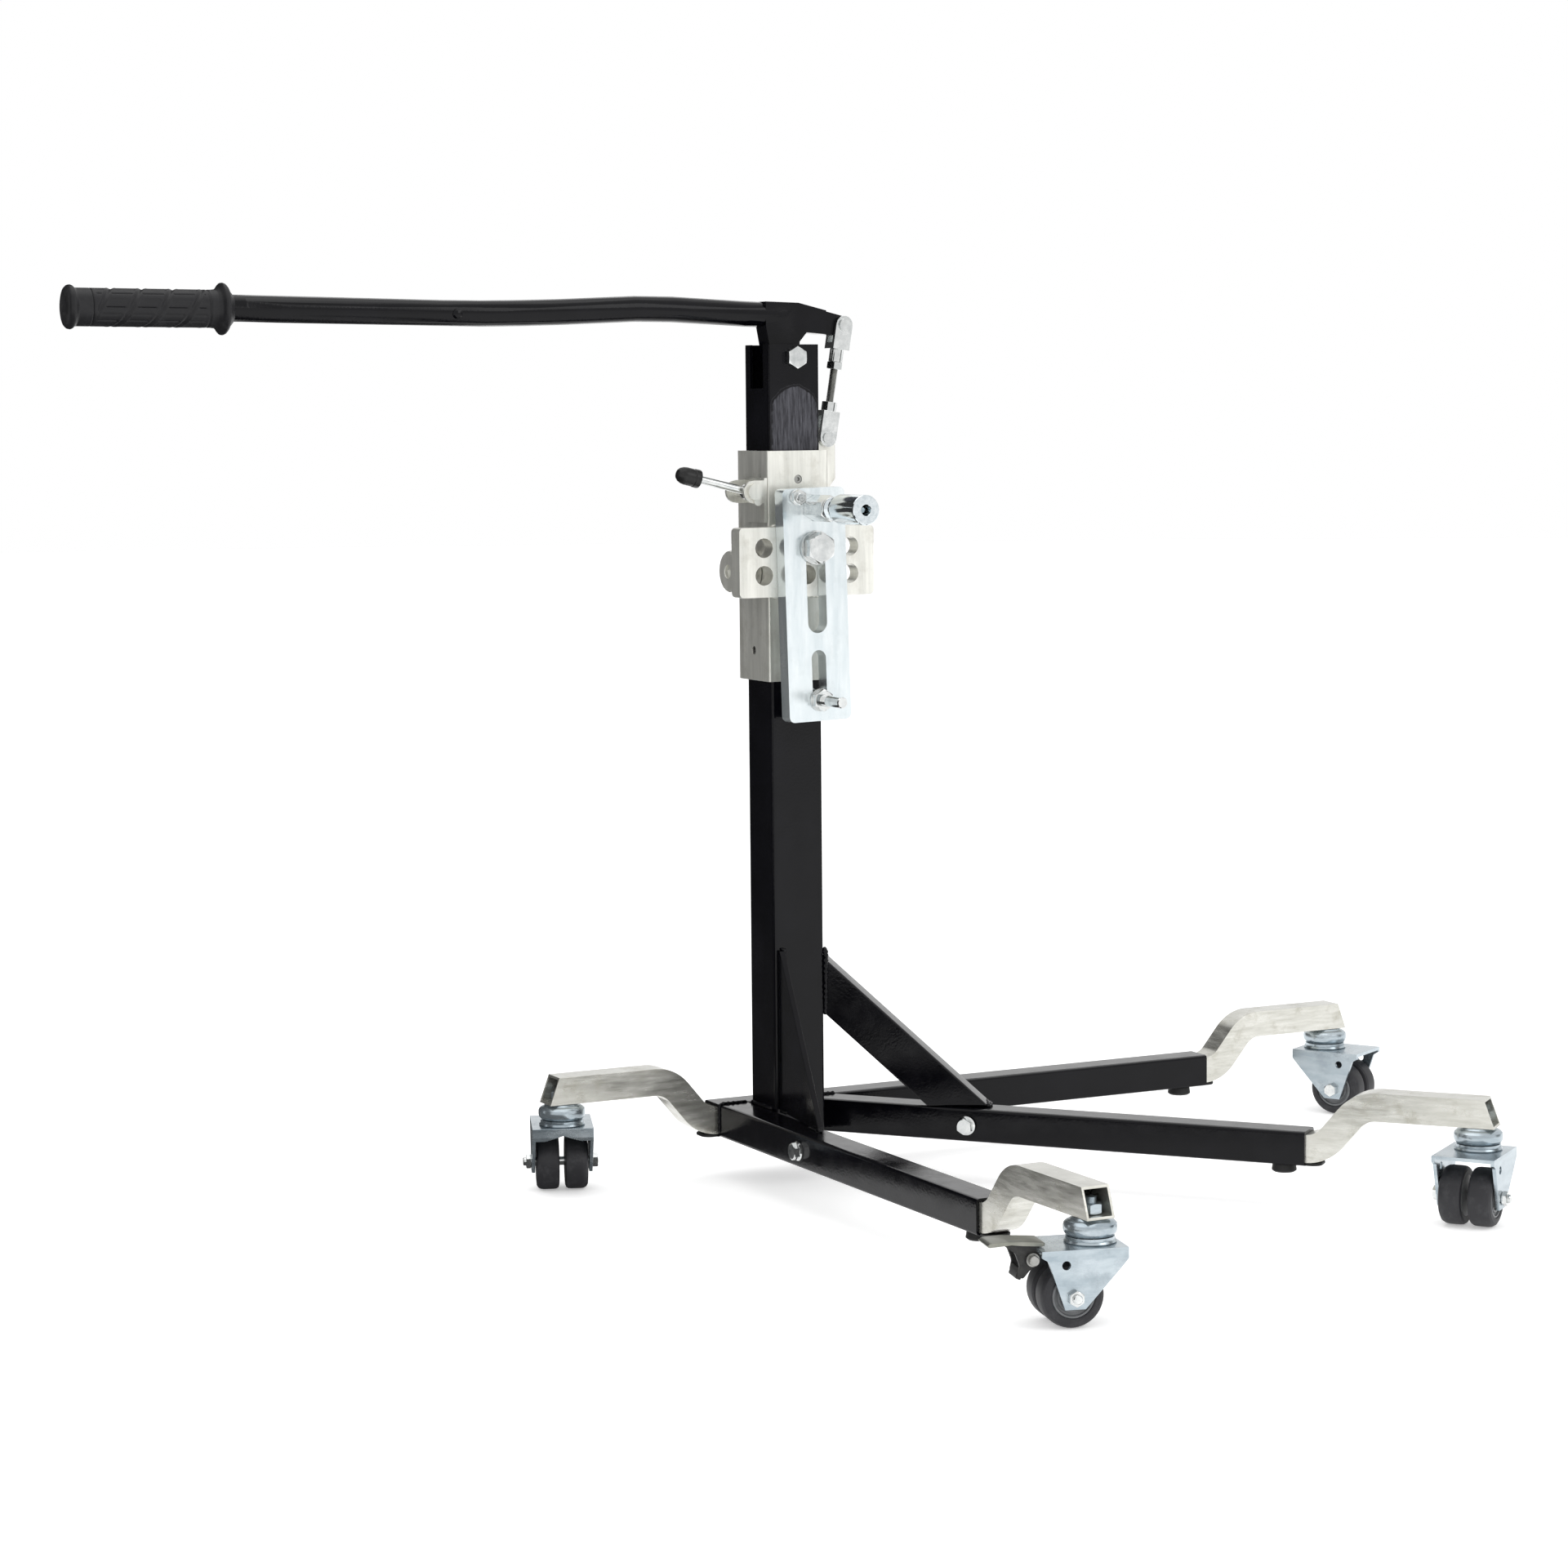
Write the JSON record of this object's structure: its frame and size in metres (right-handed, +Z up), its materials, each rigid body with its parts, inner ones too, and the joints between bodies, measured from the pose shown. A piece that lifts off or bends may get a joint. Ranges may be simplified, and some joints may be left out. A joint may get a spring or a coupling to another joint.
{
  "type": "motorcycle central lift stand",
  "caption": "Lever-operated lift stand: square mast on a castor base, sliding carriage, turnbuckle link and slotted adapter plate with a frame pin.",
  "frame": {"origin": "centre of the footprint's bounding box, on the floor", "axes": "+Z up the mast, +X towards the adapter pin's free end, the lever's grip points to -Y"},
  "size_m": [0.711, 1.303, 0.7969],
  "materials": {
    "black_powder_coat": "gloss black powder coat, slight orange peel",
    "bright_zinc": "bright zinc plate, faintly brushed",
    "blue_zinc": "blue passivated zinc plate",
    "satin_nickel": "satin nickel-zinc plate with warm stains",
    "black_rubber": "matt black rubber",
    "grey_tyre": "dark grey rubber tyre on a grey hub",
    "white_nylon": "natural nylon",
    "pedal_metal": "pressed steel pedal, olive grey"
  },
  "bodies": {
    "base": {"spine_tube": "black_powder_coat", "cross_tube": "black_powder_coat", "diagonal_leg": "black_powder_coat", "mast": "black_powder_coat", "gusset": "black_powder_coat", "brace": "black_powder_coat", "cross_bolt": "bright_zinc", "leg_bolt": "bright_zinc", "pivot_bolt": "bright_zinc", "arm_left": "satin_nickel", "arm_front": "satin_nickel", "arm_right": "satin_nickel", "arm_back": "satin_nickel", "castor_left_head": "blue_zinc", "castor_front_head": "blue_zinc", "castor_right_head": "blue_zinc", "castor_back_head": "blue_zinc", "foot_front": "black_rubber", "foot_right": "black_rubber", "foot_back": "black_rubber"},
    "lever": {"lever_arm": "black_powder_coat", "grip": "black_rubber", "link_pin_top": "bright_zinc"},
    "link": {"link_clevis_top": "bright_zinc", "link_lock_nut": "bright_zinc", "link_rod": "bright_zinc", "link_clevis_bottom": "bright_zinc"},
    "carriage": {"sleeve": "bright_zinc", "liner_lower": "white_nylon", "liner_upper": "white_nylon", "grub_screw_front": "bright_zinc", "grub_screw_side": "bright_zinc", "holder_plate": "bright_zinc", "clamp_bolt": "bright_zinc", "clamp_washer": "bright_zinc", "link_lug": "bright_zinc", "lock_boss": "bright_zinc", "latch_bracket": "bright_zinc"},
    "latch": {"latch_lever": "bright_zinc", "latch_cap": "black_rubber"},
    "adapter": {"adapter_plate": "blue_zinc", "adapter_pin": "blue_zinc", "pin_nut": "bright_zinc", "stop_screw": "bright_zinc"},
    "stud": {"lower_stud": "bright_zinc"},
    "fork_left": {"castor_left_fork": "blue_zinc", "castor_left_axle": "bright_zinc"},
    "wheel_left": {"castor_left_wheel": "grey_tyre"},
    "fork_front": {"castor_front_fork": "blue_zinc", "castor_front_axle": "bright_zinc"},
    "wheel_front": {"castor_front_wheel": "grey_tyre"},
    "brake": {"brake_pedal": "pedal_metal"},
    "fork_right": {"castor_right_fork": "blue_zinc", "castor_right_axle": "bright_zinc"},
    "wheel_right": {"castor_right_wheel": "grey_tyre"},
    "fork_back": {"castor_back_fork": "blue_zinc", "castor_back_axle": "bright_zinc"},
    "wheel_back": {"castor_back_wheel": "grey_tyre"}
  },
  "joints": [
    {"name": "lever_pivot", "type": "hinge", "parent": "base", "child": "lever", "pos_m": [-0.26091, -0.00608, 0.7336], "axis": [1, 0, 0], "range_deg": [-18, 34]},
    {"name": "carriage_slide", "type": "slide", "parent": "base", "child": "carriage", "axis": [0, 0, 1], "range_m": [-0.0153, 0.0287]},
    {"name": "link_swing", "type": "hinge", "parent": "lever", "child": "link", "pos_m": [-0.26091, 0.05242, 0.7624], "axis": [1, 0, 0], "range_deg": [-21.9, 11.8]},
    {"name": "latch_turn", "type": "hinge", "parent": "carriage", "child": "latch", "pos_m": [-0.24041, -0.04908, 0.617], "axis": [1, 0, 0], "range_deg": [-40, 50]},
    {"name": "adapter_slide", "type": "slide", "parent": "carriage", "child": "adapter", "axis": [0, -0.0279, 0.9996], "range_m": [-0.0015, 0.04]},
    {"name": "stud_slide", "type": "slide", "parent": "adapter", "child": "stud", "axis": [0, -0.0279, 0.9996], "range_m": [0, 0.036]},
    {"name": "swivel_left", "type": "hinge", "parent": "base", "child": "fork_left", "pos_m": [-0.30291, -0.20908, 0.071], "axis": [0, 0, 1], "continuous": true},
    {"name": "roll_left", "type": "hinge", "parent": "fork_left", "child": "wheel_left", "pos_m": [-0.32158, -0.20191, 0.025], "axis": [0.3584, 0.9336, 0], "continuous": true},
    {"name": "swivel_front", "type": "hinge", "parent": "base", "child": "fork_front", "pos_m": [0.32409, -0.04708, 0.071], "axis": [0, 0, 1], "continuous": true},
    {"name": "roll_front", "type": "hinge", "parent": "fork_front", "child": "wheel_front", "pos_m": [0.31935, -0.06651, 0.025], "axis": [-0.9715, 0.2368, 0], "continuous": true},
    {"name": "brake_press", "type": "hinge", "parent": "fork_front", "child": "brake", "pos_m": [0.31237, -0.09517, 0.053], "axis": [0.9715, -0.2368, 0], "range_deg": [0, 10]},
    {"name": "swivel_right", "type": "hinge", "parent": "base", "child": "fork_right", "pos_m": [0.18065, 0.42393, 0.071], "axis": [0, 0, 1], "continuous": true},
    {"name": "roll_right", "type": "hinge", "parent": "fork_right", "child": "wheel_right", "pos_m": [0.19255, 0.40785, 0.025], "axis": [-0.8039, -0.5948, 0], "continuous": true},
    {"name": "swivel_back", "type": "hinge", "parent": "base", "child": "fork_back", "pos_m": [-0.30291, 0.60492, 0.071], "axis": [0, 0, 1], "continuous": true},
    {"name": "roll_back", "type": "hinge", "parent": "fork_back", "child": "wheel_back", "pos_m": [-0.28568, 0.61507, 0.025], "axis": [0.5075, -0.8616, 0], "continuous": true}
  ],
  "couplings": [
    {"joint": "carriage_slide", "follows": "lever_pivot", "m_per_rad": 0.048},
    {"joint": "link_swing", "follows": "lever_pivot", "ratio": -0.635}
  ]
}
